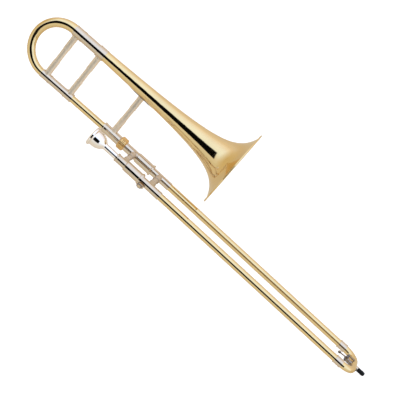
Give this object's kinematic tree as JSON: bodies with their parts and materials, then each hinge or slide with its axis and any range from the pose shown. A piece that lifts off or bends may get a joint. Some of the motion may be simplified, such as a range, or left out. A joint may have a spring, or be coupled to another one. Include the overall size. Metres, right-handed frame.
{
  "type": "trombone",
  "caption": "Slide brass instrument: flared bell section with tuning slide, telescoping hand slide with water key and lock, and a cup mouthpiece.",
  "frame": {"origin": "on the axis of the bell-side tube of the hand slide, level with the inner slide brace, where the left hand holds the instrument", "axes": "+X along the slide towards its bow, +Y towards the bell, +Z towards the tube that carries the mouthpiece"},
  "size_m": [0.9038, 0.2149, 0.1803],
  "materials": {
    "lacquered_brass": "polished, clear lacquered",
    "nickel_silver": "polished nickel silver",
    "raw_brass": "unlacquered, lightly tarnished",
    "chrome_plate": "honed chrome plate",
    "silver_plate": "bright silver plate",
    "spring_steel": "drawn wire, oiled",
    "cork": "natural cork",
    "black_rubber": "moulded rubber, satin"
  },
  "bodies": {
    "inner_slide": {"bell_side_inner_tube": "chrome_plate", "mouthpiece_side_inner_tube": "chrome_plate", "slide_tenon": "nickel_silver", "mouthpiece_receiver": "nickel_silver", "leadpipe": "raw_brass", "bell_side_barrel": "nickel_silver", "mouthpiece_side_barrel": "nickel_silver", "bell_side_barrel_cork": "cork", "mouthpiece_side_barrel_cork": "cork", "lock_retaining_ring": "nickel_silver", "inner_brace_tube": "nickel_silver", "inner_brace_sockets": "nickel_silver"},
    "bell_section": {"bell": "lacquered_brass", "bell_rim_wire": "spring_steel", "bell_tail_ferrule": "nickel_silver", "upper_tuning_receiver": "nickel_silver", "lower_tuning_receiver": "nickel_silver", "neckpipe_ferrule": "nickel_silver", "neckpipe": "lacquered_brass", "slide_receiver": "nickel_silver", "receiver_brace_tube": "nickel_silver", "receiver_brace_sockets": "nickel_silver", "bell_brace_tube": "nickel_silver", "bell_brace_sockets": "nickel_silver", "bell_brace_saddle": "nickel_silver"},
    "tuning_slide": {"tuning_crook": "lacquered_brass", "lower_crook_ferrule": "nickel_silver", "upper_crook_ferrule": "nickel_silver", "lower_tuning_leg": "nickel_silver", "upper_tuning_leg": "nickel_silver", "tuning_brace_tube": "nickel_silver", "tuning_brace_sockets": "nickel_silver"},
    "lock_nut": {"lock_nut": "raw_brass"},
    "slide_lock": {"slide_lock_ring": "nickel_silver", "slide_lock_knob": "nickel_silver"},
    "outer_slide": {"bell_side_outer_tube": "lacquered_brass", "mouthpiece_side_outer_tube": "lacquered_brass", "bell_side_outer_sleeve": "nickel_silver", "mouthpiece_side_outer_sleeve": "nickel_silver", "outer_brace_tube": "nickel_silver", "outer_brace_sockets": "nickel_silver", "slide_bow": "lacquered_brass", "bow_ferrules": "nickel_silver", "lock_catch_pin": "nickel_silver", "water_key_nipple": "nickel_silver", "water_key_saddle": "nickel_silver", "water_key_screw": "spring_steel", "water_key_spring": "spring_steel", "bumper_holder": "nickel_silver", "rubber_bumper": "black_rubber"},
    "water_key": {"water_key_lever": "nickel_silver", "water_key_cork": "cork"},
    "mouthpiece": {"mouthpiece": "silver_plate"}
  },
  "joints": [
    {"name": "bell_angle", "type": "hinge", "parent": "inner_slide", "child": "bell_section", "pos_m": [0, 0, 0], "axis": [1, 0, 0], "range_deg": [-180, 30]},
    {"name": "tuning_slide_pull", "type": "slide", "parent": "bell_section", "child": "tuning_slide", "axis": [-0.9997, -0.0236, 0], "range_m": [0, 0.034]},
    {"name": "lock_nut_turn", "type": "hinge", "parent": "inner_slide", "child": "lock_nut", "pos_m": [-0.03, 0, 0], "axis": [1, 0, 0], "range_deg": [0, 180]},
    {"name": "hand_slide", "type": "slide", "parent": "inner_slide", "child": "outer_slide", "axis": [1, 0, 0], "range_m": [0, 0.46]},
    {"name": "slide_lock_turn", "type": "hinge", "parent": "inner_slide", "child": "slide_lock", "pos_m": [0.045, 0, 0.078], "axis": [1, 0, 0], "range_deg": [0, 22]},
    {"name": "water_key_lift", "type": "hinge", "parent": "outer_slide", "child": "water_key", "pos_m": [0.5575, 0, 0.031], "axis": [0, -1, 0], "range_deg": [0, 18], "stiffness_Nm_per_rad": 0.06, "springref_deg": -20.05},
    {"name": "mouthpiece_pull", "type": "slide", "parent": "inner_slide", "child": "mouthpiece", "axis": [-1, 0, 0], "range_m": [0, 0.02]}
  ]
}
